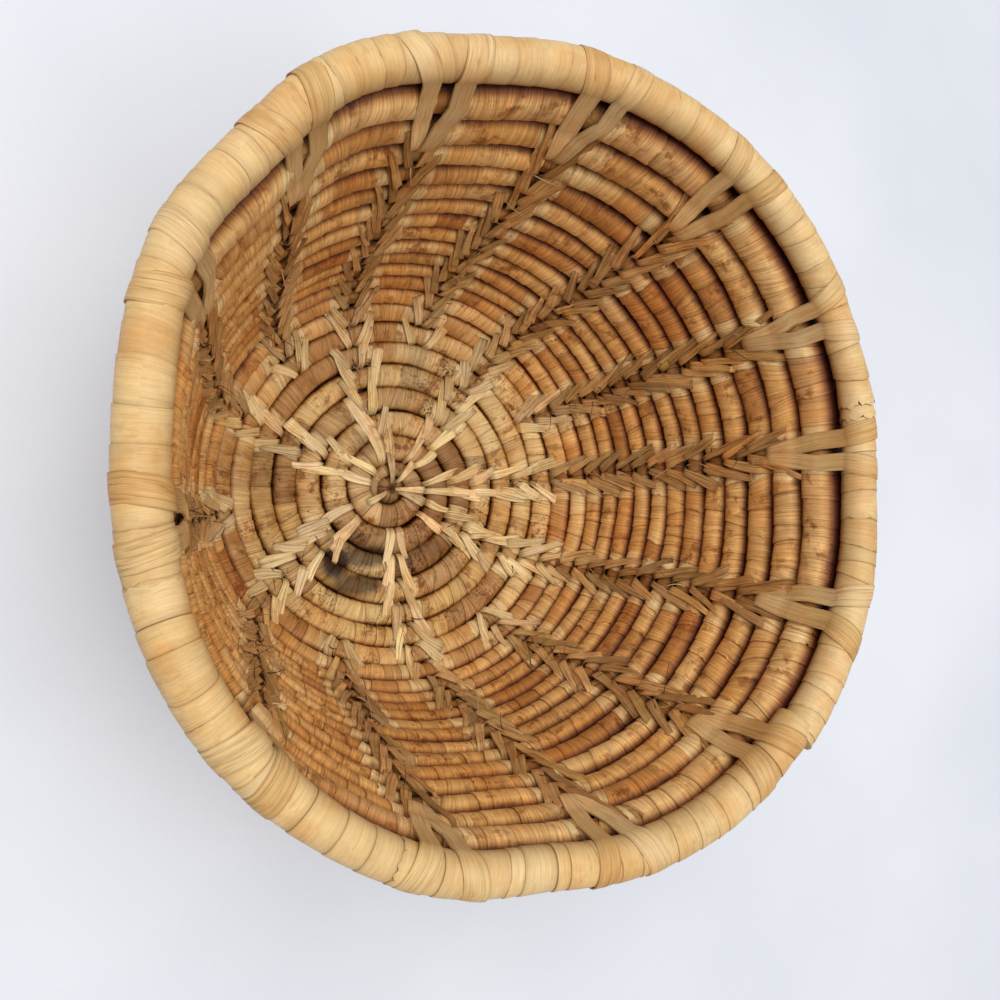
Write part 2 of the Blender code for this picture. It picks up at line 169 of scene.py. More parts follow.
ROWS = np.linspace(0, COIL_ROWS + 3, PROFILE_POINTS)
ROW_STEP = ROWS[1] - ROWS[0]
ALONG = running_sum(row_pitch(ROWS), ROW_STEP)
RADIUS = running_sum(row_pitch(ROWS) * np.cos(row_slope(ROWS)), ROW_STEP)
HEIGHT = running_sum(row_pitch(ROWS) * np.sin(row_slope(ROWS)), ROW_STEP)
SLOPE = row_slope(ROWS)
TOP_CREASE = COIL_ROWS + CREASE_PHASE + (TAIL_AZIMUTH - 180) / TURN
LAST_ROW = TOP_CREASE + 0.5 - TAIL_TIP / TURN
TOP_ALONG = float(np.interp(TOP_CREASE, ROWS, ALONG))
RIM_ALONG = TOP_ALONG + COIL_GAP / 2 + RIM_DIAMETER / 2


def smooth(low, high, value):
    t = np.clip((value - low) / (high - low), 0, 1)
    return t * t * (3 - 2 * t)


def hump(value, middle, width):
    return np.exp(-((value - middle) / width) ** 2)


def turn_away(azimuth, middle):
    """Signed degrees from one azimuth to another."""
    return (azimuth - middle + 180) % TURN - 180


def coil_azimuth(row):
    return (row - 0.5 - CREASE_PHASE) * TURN


def crease_along(row, azimuth):
    """Distance from the middle, along the profile, of the crease at a row number."""
    share = np.clip((row - LEVEL_FROM_ROW) / (TOP_CREASE - 0.5 - LEVEL_FROM_ROW), 0, 1) ** LEVEL_POWER
    passed = ((azimuth - TAIL_AZIMUTH) % TURN) / TURN
    tail = TAIL_LENGTH / TURN
    t = np.clip((passed - 1 + tail) / tail, 0, 1)
    shift = np.where(passed > 1 - tail, (tail - 0.5) + (1 - tail) * t * t * (3 - 2 * t), 0.5 - passed)
    along = np.interp(row, ROWS, ALONG) + share * shift * PITCH_TOP
    return np.clip(along, KNOT_RADIUS, TOP_ALONG)


def crease_row(number, azimuth):
    signed = (azimuth - TAIL_AZIMUTH) % TURN + TAIL_AZIMUTH - TURN
    return number + CREASE_PHASE + signed / TURN


def number_at(row, azimuth):
    return row - crease_row(0, azimuth)


def numbered_along(number, azimuth):
    return crease_along(crease_row(number, azimuth), azimuth)


def humps_at(azimuth, table):
    """Metres that a table of rounded bumps adds at an azimuth."""
    total = 0.0
    for middle, width, size in table:
        total = total + size * MM * hump(turn_away(azimuth, middle), 0, width)
    return total


def place(azimuth, along, lift, up=0.0):
    """Points over the wall's middle surface, lifted inwards and moved square up the wall."""
    row = np.interp(along, ALONG, ROWS)
    slope = np.interp(row, ROWS, SLOPE)
    radius = np.interp(row, ROWS, RADIUS) - np.sin(slope) * lift + np.cos(slope) * up
    height = np.interp(row, ROWS, HEIGHT) + np.cos(slope) * lift + np.sin(slope) * up + GROUND_LIFT
    radius = radius + humps_at(azimuth, RIM_BUMPS) * smooth(BUMP_FROM_ROW, COIL_ROWS, row)
    turn = -np.radians(azimuth)
    spot = radius * np.cos(turn), radius * np.sin(turn), np.maximum(height, 0)
    return np.stack(np.broadcast_arrays(*spot), -1)


def radius_at(along):
    return np.interp(np.interp(along, ALONG, ROWS), ROWS, RADIUS)


def stitch_azimuth(index, number):
    lean = np.clip(1 - number / STITCH_LEAN_ROWS, 0, 1) if index < LEANING_STITCHES else 0.0
    return STITCH_AZIMUTHS[index] + STITCH_LEAN * lean


def slow_noise(places, step, seed):
    """Smooth seeded noise between -1 and 1 along a line, with a new value every step."""
    source = np.random.default_rng(seed)
    low = math.floor(places.min() / step) - 1
    values = source.uniform(-1, 1, int(places.max() / step) - low + 4)
    at = places / step - low
    whole = np.floor(at).astype(int)
    part = at - whole
    part = part * part * (3 - 2 * part)
    return values[whole] * (1 - part) + values[whole + 1] * part


def linear(shown):
    """Linear colour from the one that a screen shows."""
    shown = np.array(shown) / 255
    return np.where(shown <= 0.04045, shown / 12.92, ((shown + 0.055) / 1.055) ** 2.4)


def blend(low, high, share):
    return low * (1 - share) + high * share


def unit(vectors):
    return vectors / np.linalg.norm(vectors, axis=-1, keepdims=True)


def path_length(points):
    return np.concatenate([[0], np.cumsum(np.linalg.norm(np.diff(points, axis=0), axis=1))])


SHARP_ANGLE = math.radians(38)


class Weave:
    """Collects closed tubes of points with their texture places and colours, and makes one mesh of them."""

    def __init__(self):
        self.points = []
        self.faces = []
        self.uvs = []
        self.colours = []
        self.marks = []
        self.count = 0

    def tube(self, points, uv, colour, edge, speck=0.0):
        """Closed tube through rings of points, with flat ends. It has one more column of uv than sides."""
        rings, sides = points.shape[:2]
        i, j = np.meshgrid(np.arange(rings - 1), np.arange(sides), indexing="ij")
        after = (j + 1) % sides
        quads = np.stack([i * sides + j, (i + 1) * sides + j, (i + 1) * sides + after, i * sides + after], -1)
        corners = np.stack([uv[i, j], uv[i + 1, j], uv[i + 1, j + 1], uv[i, j + 1]], -2)
        step = np.arange(sides // 2 - 1)
        end = np.stack([step, step + 1, sides - 2 - step, sides - 1 - step], -1)
        for quad in (quads.reshape(-1, 4), end, end[:, ::-1] + (rings - 1) * sides):
            self.faces.append(quad + self.count)
        self.uvs.append(corners.reshape(-1, 2))
        self.uvs.append(np.broadcast_to(uv[0, 0], (2 * end.size, 2)))
        self.points.append(points.reshape(-1, 3))
        self.colours.append(np.broadcast_to(colour, (rings, sides, 3)).reshape(-1, 3))
        marks = [np.broadcast_to(mark, (rings, sides)).reshape(-1) for mark in (edge, speck)]
        self.marks.append(np.stack(marks, -1))
        self.count += rings * sides

    def build(self, name, material, nodes):
        """Makes the mesh object, which stands for the frame's nodes."""
        mesh = bpy.data.meshes.new(name)
        mesh.from_pydata(np.concatenate(self.points), [], np.concatenate(self.faces).tolist())
        layer = mesh.uv_layers.new(name="fibre")
        layer.data.foreach_set("uv", np.concatenate(self.uvs).astype(np.float32).ravel())
        colours = np.concatenate(self.colours)
        colours = np.concatenate([colours, np.ones((len(colours), 1))], 1)
        tint = mesh.attributes.new("tint", "FLOAT_COLOR", "POINT")
        tint.data.foreach_set("color", colours.astype(np.float32).ravel())
        marks = np.concatenate(self.marks).astype(np.float32)
        for at, label in enumerate(("edge", "speck")):
            layer = mesh.attributes.new(label, "FLOAT", "POINT")
            layer.data.foreach_set("value", np.ascontiguousarray(marks[:, at]))
        shape = bmesh.new()
        shape.from_mesh(mesh)
        bmesh.ops.recalc_face_normals(shape, faces=shape.faces)
        shape.to_mesh(mesh)
        shape.free()
        mesh.shade_smooth()
        mesh.set_sharp_from_angle(angle=SHARP_ANGLE)
        mesh.materials.append(material)
        piece = bpy.data.objects.new(name, mesh)
        bpy.context.scene.collection.objects.link(piece)
        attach(piece, "root")
        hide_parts(*nodes)


# Outputs of the texture coordinate node and of the attribute node
OBJECT_PLACE = 3
ATTRIBUTE_COLOUR = 0
ATTRIBUTE_VALUE = 2


class Tree:
    """Short way to write a material's nodes."""

    def __init__(self, name):
        self.material = bpy.data.materials.new(name)
        self.material.use_nodes = True
        self.nodes = self.material.node_tree.nodes
        self.links = self.material.node_tree.links
        self.shader = self.nodes["Principled BSDF"]

    def set(self, socket, value):
        if isinstance(value, bpy.types.NodeSocket):
            self.links.new(value, socket)
        else:
            socket.default_value = value

    def add(self, kind, settings, *inputs, **named):
        """New node with its settings, its first inputs in order and others by name."""
        node = self.nodes.new(kind)
        for key, value in settings.items():
            setattr(node, key, value)
        for at, value in enumerate(inputs):
            self.set(node.inputs[at], value)
        for key, value in named.items():
            self.set(node.inputs[key.replace("_", " ")], value)
        return node.outputs

    def math(self, operation, a, b=0.0, clamp=False):
        return self.add("ShaderNodeMath", {"operation": operation, "use_clamp": clamp}, a, b)[0]

    def times(self, a, b):
        return self.math("MULTIPLY", a, b)

    def remap(self, value, low, high, new_low, new_high):
        return self.add("ShaderNodeMapRange", {"clamp": True}, value, low, high, new_low, new_high)[0]

    def stretch(self, vector, across, along):
        return self.add("ShaderNodeVectorMath", {"operation": "MULTIPLY"}, vector, (across, along, 1.0))[0]

    def noise(self, vector, scale, detail=2.0, roughness=0.55):
        return self.add("ShaderNodeTexNoise", {}, Vector=vector, Scale=scale, Detail=detail,
                        Roughness=roughness)[0]

    def attribute(self, name, output):
        return self.add("ShaderNodeAttribute", {"attribute_name": name})[output]

    def mix(self, factor, a, b, blend_type="MIX"):
        """Mix of two colours: the node's inputs 6 and 7 and its output 2 are the ones for colours."""
        node = self.nodes.new("ShaderNodeMix")
        node.data_type = "RGBA"
        node.blend_type = blend_type
        self.set(node.inputs[0], factor)
        self.set(node.inputs[6], a)
        self.set(node.inputs[7], b)
        return node.outputs[2]

    def darken(self, factor, colour, tint):
        """Colour times a tint, by a factor."""
        return self.mix(factor, colour, self.mix(1.0, colour, (*tint, 1), "MULTIPLY"))


def fibre_material(name, streak, spots, hair, fine=1.0, edge_dark_and_shade=0.8, roughness=0.52):
    """Dry plant fibre: streaks and hair lines along each strip, brown spots, dark specks, and dark edges that
    are partly painted shade.
    """
    tree = Tree(name)
    strip = tree.add("ShaderNodeUVMap", {"uv_map": "fibre"})[0]
    body = tree.add("ShaderNodeTexCoord", {})[OBJECT_PLACE]
    tint = tree.attribute("tint", ATTRIBUTE_COLOUR)
    edge = tree.attribute("edge", ATTRIBUTE_VALUE)
    speck = tree.attribute("speck", ATTRIBUTE_VALUE)
    broad = tree.noise(tree.stretch(strip, 1.9 * fine, 0.06), 1.0, 3.0, 0.6)
    thin = tree.noise(tree.stretch(strip, 4.6 * fine, 0.16), 1.0, 2.0, 0.6)
    hairs = tree.noise(tree.stretch(strip, 0.7 * fine, 0.018), 1.0, 2.0, 0.5)
    warmth = tree.noise(body, 85.0, 3.0, 0.6)
    blotches = tree.noise(body, 330.0, 3.0, 0.6)
    field = tree.noise(body, 95.0, 2.0, 0.5)
    dots = tree.noise(body, 1200.0, 1.0, 0.5)

    light = tree.times(tree.remap(broad, 0.32, 0.68, 1 - streak, 1 + 0.7 * streak),
                       tree.remap(thin, 0.3, 0.7, 1 - 0.8 * streak, 1 + 0.6 * streak))
    light = tree.add("ShaderNodeCombineColor", {}, light, light, light)[0]
    colour = tree.mix(1.0, tint, light, "MULTIPLY")
    colour = tree.darken(tree.remap(warmth, 0.44, 0.64, 0.0, 0.75), colour, WARM_TINT)
    patchy = tree.remap(field, 0.42, 0.62, 0.1, 1.0)
    blotch = tree.times(tree.times(tree.remap(blotches, 0.5, 0.63, 0.0, 1.0), patchy), spots)
    colour = tree.darken(blotch, colour, BLOTCH_TINT)
    dot = tree.times(tree.times(tree.remap(dots, 0.555, 0.62, 0.0, 1.0), patchy), speck)
    colour = tree.darken(dot, colour, DOT_TINT)
    line = tree.math("ABSOLUTE", tree.math("SUBTRACT", hairs, 0.5))
    line = tree.times(tree.remap(line, 0.0, 0.022, 1.0, 0.0), hair)
    colour = tree.darken(line, colour, HAIR_TINT)
    # Dark edges and seams, partly painted shade at the seams, along the stitches' sides and in the knot's
    # hole
    dark = tree.math("MULTIPLY", edge, edge_dark_and_shade, clamp=True)
    colour = tree.darken(dark, colour, EDGE_AND_SHADE_TINT)
    tree.set(tree.shader.inputs["Base Color"], colour)
    tree.set(tree.shader.inputs["Roughness"], tree.remap(broad, 0.3, 0.7, roughness + 0.1, roughness - 0.12))
    tree.shader.inputs["Specular IOR Level"].default_value = FIBRE_GLOSS
    height = tree.math("ADD", tree.times(broad, 0.6), tree.times(thin, 0.4))
    height = tree.math("SUBTRACT", height, tree.times(line, 0.5))
    bump = tree.add("ShaderNodeBump", {}, Strength=0.8, Distance=FIBRE_RELIEF, Height=height)[0]
    tree.set(tree.shader.inputs["Normal"], bump)
    return tree.material


def coil_line():
    """The whole coil's middle line, finely stepped: length, azimuth, place, half thickness, nearest rib."""
    row = np.linspace(FIRST_ROW, LAST_ROW, COIL_POINTS)
    azimuth = coil_azimuth(row)
    low = crease_along(row - 0.5, azimuth)
    high = crease_along(row + 0.5, azimuth)
    along = (low + high) / 2
    length = path_length(place(azimuth, along, 0.0))
    number = number_at(row, azimuth)
    rib = np.full(len(row), 1.0)
    for index, first in enumerate(STITCH_FIRST_ROWS):
        gap = np.radians(np.abs(turn_away(azimuth, stitch_azimuth(index, number)))) * radius_at(along)
        rib = np.where(number > first - 0.4, np.minimum(rib, gap), rib)
    wall = smooth(*WALL_LOOKS, number)
    full = 1.06 - 0.1 * hump(rib, 0, 4.6 * MM) - 0.14 * wall * hump(rib, 0, 1.9 * MM)
    full = full + 0.05 * smooth(*TOP_ROW, number)
    size = (high - low) / 2 * (full + (0.07 - 0.025 * wall) * slow_noise(length, 0.017, 11))
    size = size * np.clip(0.9 + length / 0.05, 0.9, 1.0)
    wander = (0.34 + 0.06 * wall) * MM
    return {"row": row, "length": length, "azimuth": azimuth, "size": size, "rib": rib, "number": number,
            "along": along + wander * slow_noise(length, 0.014, 12),
            "lift": 0.4 * MM * slow_noise(length, 0.021, 13)}


def rim_offset(azimuth):
    ahead = np.maximum(0, azimuth - RIM_JOINT_AZIMUTH)
    behind = np.maximum(0, RIM_JOINT_AZIMUTH + TURN - azimuth)
    return RIM_STEP * (np.exp(-behind / RIM_STEP_FADE) - np.exp(-ahead / RIM_STEP_FADE))


def rim_size(azimuth):
    """The rim's half thickness, which grows beside its joint and on the left, and thins on the right."""
    return RIM_DIAMETER / 2 + humps_at(azimuth, RIM_SWELLS)


def rim_line():
    azimuth = np.linspace(RIM_JOINT_AZIMUTH - 1, RIM_JOINT_AZIMUTH + TURN + 1, RIM_POINTS)
    length = path_length(place(azimuth, RIM_ALONG, -rim_offset(azimuth)))
    return {"length": length, "azimuth": azimuth,
            "along": RIM_ALONG + 0.22 * MM * slow_noise(length, 0.03, 22),
            "lift": -rim_offset(azimuth) + 0.25 * MM * slow_noise(length, 0.025, 23),
            "size": rim_size(azimuth) * (1 + 0.03 * slow_noise(length, 0.02, 21))}


# A strip's outline from its start to its edge, where the next one comes out from under it
STRIP_STEPS = (0.0, 0.05, 0.3, 0.65, 0.93, 1.0)
STRIP_RISE = (-0.15, -0.07, 0.0, 0.05, 0.1, 0.08)
# The seams' darkness: partly the strips' own dark edges, partly painted shade at the step where one strip
# comes out from under the other
STRIP_EDGE = (1.0, 0.25, 0.0, 0.0, 0.12, 0.5)
SEAM = 0.07 * MM
# What would be left over at a coil's end, if it is shorter than this, joins the last strip
SHORTEST_STRIP = 1.2 * MM
TUBE_SIDES = 28
PHI = 2 * np.pi * np.arange(TUBE_SIDES) / TUBE_SIDES
COIL_FULLNESS = 0.84
RIM_FULLNESS = 0.95


def squarish(angles, fullness):
    """Shares up the wall and inwards, round a coil that is pressed a little square by its neighbours."""
    up, inward = np.cos(angles), np.sin(angles)
    return np.sign(up) * np.abs(up) ** fullness, np.sign(inward) * np.abs(inward) ** fullness


def wound_tube(weave, line, start, end, next_strip, fullness, crease_sides, crease_from, crease_shade):
    """Tube wrapped with strips: each strip rises a little to its edge and drops to the start of the next.

    crease_sides says how much painted shade the tube's lower and upper side take towards their creases.
    """
    rings = []
    at = start
    tilt = 0.0
    while at < end - 0.3 * MM:
        width, colour, speck, step, next_tilt, fray = next_strip(at)
        width = min(width, end - at)
        if end - at - width < SHORTEST_STRIP:
            width = end - at
        seam = rng.uniform(0.1, 1.0) ** 1.7
        for share, rise, edge in zip(STRIP_STEPS, STRIP_RISE, STRIP_EDGE):
            here = min(at + SEAM + share * (width - SEAM), end)
            rough = fray if share > 0.9 else 0.0
            lean = tilt * (1 - share) + next_tilt * share
            phase = rng.uniform(0, 6)
            rings.append((here, lean, rise * step * MM, edge * seam, speck, rough, phase, *colour))
        tilt = next_tilt
        at += width
    table = np.array(rings)
    here, lean, rise, edge, speck, rough, phase = [table[:, column, None] for column in range(7)]
    up, inward = squarish(PHI, fullness)
    away = lean * np.interp(here, line["length"], line["size"]) * up
    away = away * ((here > start + MM) & (here < end - MM))
    ragged = np.sin(5 * PHI + phase) + 0.6 * np.sin(13 * PHI + 2 * phase)
    at_point = np.clip(here + away + 0.4 * rough * MM * ragged, line["length"][0], line["length"][-1])
    size, azimuth, along, lift = [np.interp(at_point, line["length"], line[key])
                                  for key in ("size", "azimuth", "along", "lift")]
    reach = size + rise
    points = place(azimuth, along, lift + reach * inward, reach * up)
    round_it = np.linspace(0, 2 * np.pi, TUBE_SIDES + 1) * float(np.mean(size)) / MM
    uv = np.stack(np.broadcast_arrays(here / MM, round_it), -1)
    # Painted shade: the colour darkens and turns brown towards the creases, where shade falls, and the 1.08
    # paints a slight highlight over the rest of the round
    crease = np.maximum(crease_sides[0] * -up, crease_sides[1] * up)
    shade = 1.08 - crease_shade * smooth(crease_from, 0.98, crease)
    colour = table[:, None, 7:10] * shade[:, None] ** SHADE_WARMTH * stain(points)
    weave.tube(points, uv, colour, edge, speck)


# Dark patches on the floor, where something was spilled: x, y, half sizes and strength
STAINS = ((-0.0190, -0.0230, 0.0042, 0.0046, 1.0), (-0.0090, -0.0215, 0.0075, 0.0030, 0.85),
          (-0.0120, -0.0300, 0.0070, 0.0028, 0.8), (-0.0160, -0.0170, 0.0045, 0.0035, 0.6),
          (0.0010, -0.0230, 0.0050, 0.0028, 0.5), (-0.0065, 0.0150, 0.0055, 0.0040, 0.4),
          (0.0120, -0.0190, 0.0060, 0.0025, 0.3), (-0.0415, 0.0050, 0.0030, 0.0080, 0.35))
STAIN_TINT = np.array((0.07, 0.055, 0.05))
# Heights between which they fade out and are full
STAIN_HEIGHTS = (0.016, 0.010)

# Middles of the patches where the wrapping is covered with dark specks
SPECKLED = ((0.005, 0.040), (0.017, 0.041), (0.028, 0.041), (0.013, 0.025), (0.028, 0.008), (0.0266, -0.0144))
SPECKLED_REACH = 0.006


def stain(points):
    """Shares of red, green and blue that the dark patches leave at points."""
    total = np.zeros(points.shape[:-1])
    for x, y, width, depth, strength in STAINS:
        spot = hump(points[..., 0], x, width) * hump(points[..., 1], y, depth)
        total = np.maximum(total, strength * np.minimum(2.2 * spot, 1))
    total = (total * smooth(*STAIN_HEIGHTS, points[..., 2]))[..., None]
    return 1 - total + total * STAIN_TINT


RIM = rim_line()
# Where a strip of the rim ends in a ragged, dark edge, and how many degrees from there still count
FRAYED_AZIMUTH = 351.0
FRAYED_REACH = 2.6
# How ragged the edges of the wrapping strips are, and how often
COIL_FRAY = ((0.0, 0.25, 0.8), (0.5, 0.32, 0.18))
RIM_FRAY = ((0.0, 0.3, 1.0), (0.6, 0.3, 0.1))
RIM_SPECK = 0.04
# The coil's wrapping is narrow this near to a stitch row
NEAR_STITCHES = 8.0 * MM
# Least and most widths of the wrapping strips in millimetres, and what the wall adds to the most
NARROW_WIDTHS = (2.2, 3.8)
WIDE_WIDTHS = (2.8, 6.4)
WIDER_ON_WALL = 2.4
RIM_WIDTHS = (3.0, 8.0)
# How much of its own colour the top row takes
TOP_ROW_SHARE = 0.4
KNOT_WRAPS = 7
# Stitch rows, counted from nought, that have no strip end at the knot
KNOT_BARE = (2, 6)


class Strips:
    """Chooses the next wrapping strip: wide and coloured between stitch rows, narrow and pale beside them."""

    def __init__(self, line):
        self.line = line
        self.low = [linear(colour) for colour in FLOOR_STRIPS]
        self.high = [linear(colour) for colour in WALL_STRIPS]
        self.run = 0.0

    def next_run(self, wall):
        """Bundle of grass that shows through the next few strips."""
        self.pick = rng.integers(len(self.low))
        self.other = rng.integers(len(self.low))
        self.run = rng.uniform(8, 45) * MM
        self.speck = rng.uniform(0.1, 1.0) * (1 - 0.8 * wall) if rng.random() < 0.65 else 0.0

    def __call__(self, at):
        number = np.interp(at, self.line["length"], self.line["number"])
        rib = np.interp(at + 1.5 * MM, self.line["length"], self.line["rib"])
        wall = float(smooth(*WALL_LOOKS, number))
        if rib < NEAR_STITCHES:
            width = rng.uniform(*NARROW_WIDTHS) * MM
        else:
            width = rng.uniform(WIDE_WIDTHS[0], WIDE_WIDTHS[1] + WIDER_ON_WALL * wall) * MM
        if self.run <= 0:
            self.next_run(wall)
        self.run -= width
        share = rng.uniform(0.1, 0.5)
        low = blend(self.low[self.pick], self.low[self.other], share)
        high = blend(self.high[self.pick], self.high[self.other], share)
        colour = blend(low, high, wall) * rng.uniform(0.9, 1.08)
        colour = blend(colour, linear(TOP_ROW_STRIP), TOP_ROW_SHARE * float(smooth(*TOP_ROW, number)))
        speck = self.speck
        azimuth, along = [np.interp(at, self.line["length"], self.line[key]) for key in ("azimuth", "along")]
        spot = place(azimuth, along, 0.0)[:2]
        if min(math.dist(spot, patch) for patch in SPECKLED) < SPECKLED_REACH:
            colour = colour * SPECKLED_TINT
            speck = 1.0
        if rib < (6.0 + 2.2 * wall) * MM:
            pale = blend(linear(PALE_FLOOR), linear(PALE_WALL), wall)
            colour = blend(colour, pale, rng.uniform(0.4, 0.9) if rib > 3.2 * MM else rng.uniform(0.1, 0.6))
            # Painted shade in the pinched crevice along the stitch row's middle, turning brown as it darkens
            colour = colour * (1 - (0.25 + 0.3 * wall) * hump(rib, 0, 2.4 * MM)) ** SHADE_WARMTH
            speck *= 0.3
        fray = rng.choice(COIL_FRAY[0], p=COIL_FRAY[1])
        return width, colour, speck, rng.uniform(0.5, 1.8), rng.normal(0.05, 0.17), fray


class RimStrips:
    """The rim's wrapping: broad pale strips with a few frayed edges."""

    def __init__(self):
        self.colours = [linear(colour) for colour in RIM_STRIPS]
        self.colour = self.colours[0]

    def __call__(self, at):
        width = rng.uniform(*RIM_WIDTHS) * MM
        self.colour = blend(self.colour, self.colours[rng.integers(len(self.colours))], 0.4)
        azimuth = np.interp(at + width, RIM["length"], RIM["azimuth"])
        if abs(turn_away(azimuth, FRAYED_AZIMUTH)) < FRAYED_REACH:
            return width, self.colour, RIM_SPECK, 3.0, 0.0, 1.8
        fray = rng.choice(RIM_FRAY[0], p=RIM_FRAY[1])
        colour = self.colour * rng.uniform(0.95, 1.04)
        return width, colour, RIM_SPECK, rng.uniform(0.5, 1.5), rng.normal(0.05, 0.12), fray


# The coil's pieces: name, last row, node, slot, streaks, spots and where the painted shade towards the
# creases starts
COIL_PARTS = (("floor_coil", FLOOR_END_ROW, "base_coil", "floor_straw", 0.27, 1.0, 0.74),
              ("lower_coil", TURN_UP_END_ROW, "turn_up_coil", "turn_up_tan", 0.24, 0.9, 0.68),
              ("middle_coil", LOW_WALL_END_ROW, "low_wall_coil", "turn_up_tan", 0.23, 0.8, 0.52),
              ("upper_coil", LAST_ROW, "wall_coil", "wall_golden", 0.25, 0.9, 0.52))
# Depth of the painted crease shade on the coil, and where it starts and how deep it goes on the rim's lower
# side
COIL_CREASE_SHADE = 1.02
COIL_HAIR = 0.4
RIM_CREASE_FROM = 0.1
RIM_CREASE_SHADE = 0.55


def coils():
    line = coil_line()
    chooser = Strips(line)
    first = FIRST_ROW
    for name, last, node, slot, streak, spots, crease_from in COIL_PARTS:
        weave = Weave()
        start, end = np.interp((first, last), line["row"], line["length"])
        wound_tube(weave, line, start, end, chooser, COIL_FULLNESS, (1, 1), crease_from, COIL_CREASE_SHADE)
        weave.build(name, fibre_material(name + "_fibre", streak, spots, COIL_HAIR), [node])
        first = last


def rim():
    weave = Weave()
    start, end = RIM["length"][[0, -1]]
    wound_tube(weave, RIM, start, end, RimStrips(), RIM_FULLNESS, (1, 0), RIM_CREASE_FROM, RIM_CREASE_SHADE)
    material = fibre_material("rim_fibre", streak=0.09, spots=0.16, hair=0.15, fine=0.8, roughness=0.5)
    weave.build("rim_wrap", material, ["rim_coil"])


# Places across a strip, as shares of its half width
ACROSS = np.array((-1.0, -0.82, 0.0, 0.82, 1.0))
# How dark a strip is at its cut ends and next to them, and how much painted shade lies along its sides
END_DARK = 0.7
NEXT_TO_END_DARK = 0.2
SIDE_SHADE = 0.4


def ribbon(weave, points, normals, halves, thickness, colour, curl=0.15, twist=0.0, pointed=False):
    """Flat split strip along points: halves is its half width; normals point away from what it lies on."""
    length = path_length(points) / MM
    ahead = unit(np.gradient(points, axis=0))
    across = unit(np.cross(ahead, normals))
    normals = np.cross(across, ahead)
    turn = (np.ones(len(points)) * twist)[:, None]
    cosine, sine = np.cos(turn), np.sin(turn)
    across, normals = across * cosine + normals * sine, normals * cosine - across * sine
    halves = np.asarray(halves)[:, None, None]
    u = ACROSS[None, :, None]
    spread = points[:, None] + across[:, None] * u * halves - normals[:, None] * u ** 2 * halves * curl
    upper = spread + normals[:, None] * thickness
    loop = np.concatenate([upper, spread[:, ::-1]], 1)
    shift = rng.uniform(0, 500)
    columns = np.concatenate([ACROSS, ACROSS[::-1], ACROSS[:1]]) * float(np.mean(halves)) / MM
    uv = np.stack(np.broadcast_arrays(columns[None] + shift, length[:, None] + shift), -1)
    edge = np.zeros(loop.shape[:2])
    if not pointed:
        edge[[0, -1]] = END_DARK
        edge[[1, -2]] = NEXT_TO_END_DARK
    # Painted shade along the strip's sides, where it lies on the coil
    edge[:, [0, 4, 5, 9]] += SIDE_SHADE
    weave.tube(loop, uv, colour, np.clip(edge, 0, 1))


def surface_path(azimuth, asides, alongs, lifts):
    """Points and inward normals over the wall, for a path aside from an azimuth and along the profile."""
    turned = azimuth + np.degrees(asides / np.maximum(radius_at(alongs), 2 * MM))
    points = place(turned, alongs, lifts)
    return points, unit(place(turned, alongs, lifts + MM) - points)


def seat(number, azimuth):
    """Height of the pinched row's face over the middle surface, at a crease number with its fraction."""
    lower = np.floor(np.clip(number, 1, COIL_ROWS - 0.01))
    half = (numbered_along(lower + 1, azimuth) - numbered_along(lower, azimuth)) / 2
    x = 2 * (number - lower) - 1
    return half * (0.84 + 0.08 * np.sqrt(np.clip(1 - x * x, 0, 1)))


# The row numbers between which the stitches pass from the floor's shape to the wall's, and in colour from
# the floor's to the turn-up's and on to the wall's
STITCH_SHAPE_ROWS = (4.5, 8.5)
STITCH_TURN_ROWS = (5.0, 8.5)
STITCH_WALL_ROWS = (8.5, 19.0)
EXTRA_ARM_CHANCE = 0.5


def stitch_colour(number):
    wall = float(smooth(*STITCH_TURN_ROWS, number))
    high = float(smooth(*STITCH_WALL_ROWS, number))
    colour = blend(blend(linear(STITCH_FLOOR), linear(STITCH_TURN), wall), linear(STITCH_WALL), high)
    bright = rng.uniform(0.74 - 0.12 * wall, 1.16)
    return colour * bright * np.array((1, rng.uniform(0.97, 1.03), rng.uniform(0.9, 1.08)))


def barb(weave, index, number, side):
    """One arm of a V stitch: out of the crease at its apex, swept back over the rows above it."""
    wall = float(smooth(*STITCH_SHAPE_ROWS, number))
    run = (1.6 + 0.6 * wall) * rng.uniform(0.68 + 0.14 * wall, 1.32 - 0.14 * wall)
    azimuth = float(stitch_azimuth(index, number))
    radius = float(radius_at(numbered_along(number, azimuth)))
    spread = min((6.8 - 0.6 * wall) * MM, 0.32 * radius + 0.3 * MM) * rng.uniform(0.65, 1.3)
    root = min(rng.uniform(0.2, 3.4 - 2.4 * wall) * MM, 0.55 * spread)
    t = np.linspace(0, 1, ARM_POINTS)
    numbers = number - 0.03 + run * t
    bow = rng.uniform(-0.7, 0.7) * MM
    asides = side * (root + (spread - root) * t) + bow * np.sin(np.pi * t) + rng.uniform(-0.6, 0.6) * MM
    lifts = seat(numbers, azimuth) + (0.2 + 0.55 * (1 - t) + rng.uniform(0, 0.3)) * MM
    lifts = lifts - (1 - smooth(0.0, 0.12, t)) * 2.4 * MM
    cut_end = rng.random() < 0.65 - 0.45 * wall
    lifts = lifts - smooth(0.84, 1.0, t) * (0.1 if cut_end else 1.9) * MM
    points, normals = surface_path(stitch_azimuth(index, numbers), asides,
                                   numbered_along(numbers, azimuth), lifts)
    wide = rng.uniform(1.1, 1.7) * (1.25 - 0.25 * wall) * MM
    if rng.random() < 0.6 - 0.35 * wall:
        shape = 0.6 + 0.4 * smooth(0.0, 0.8, t)
    else:
        shape = (0.75 + 0.25 * smooth(0, 0.2, t)) * (1 - 0.45 * t)
    twist = rng.uniform(-0.25, 0.25) + side * rng.uniform(-0.05, 0.45) * t
    ribbon(weave, points, normals, wide * shape, rng.uniform(0.22, 0.36) * MM, stitch_colour(number),
           curl=rng.uniform(0.0, 0.12), twist=twist)


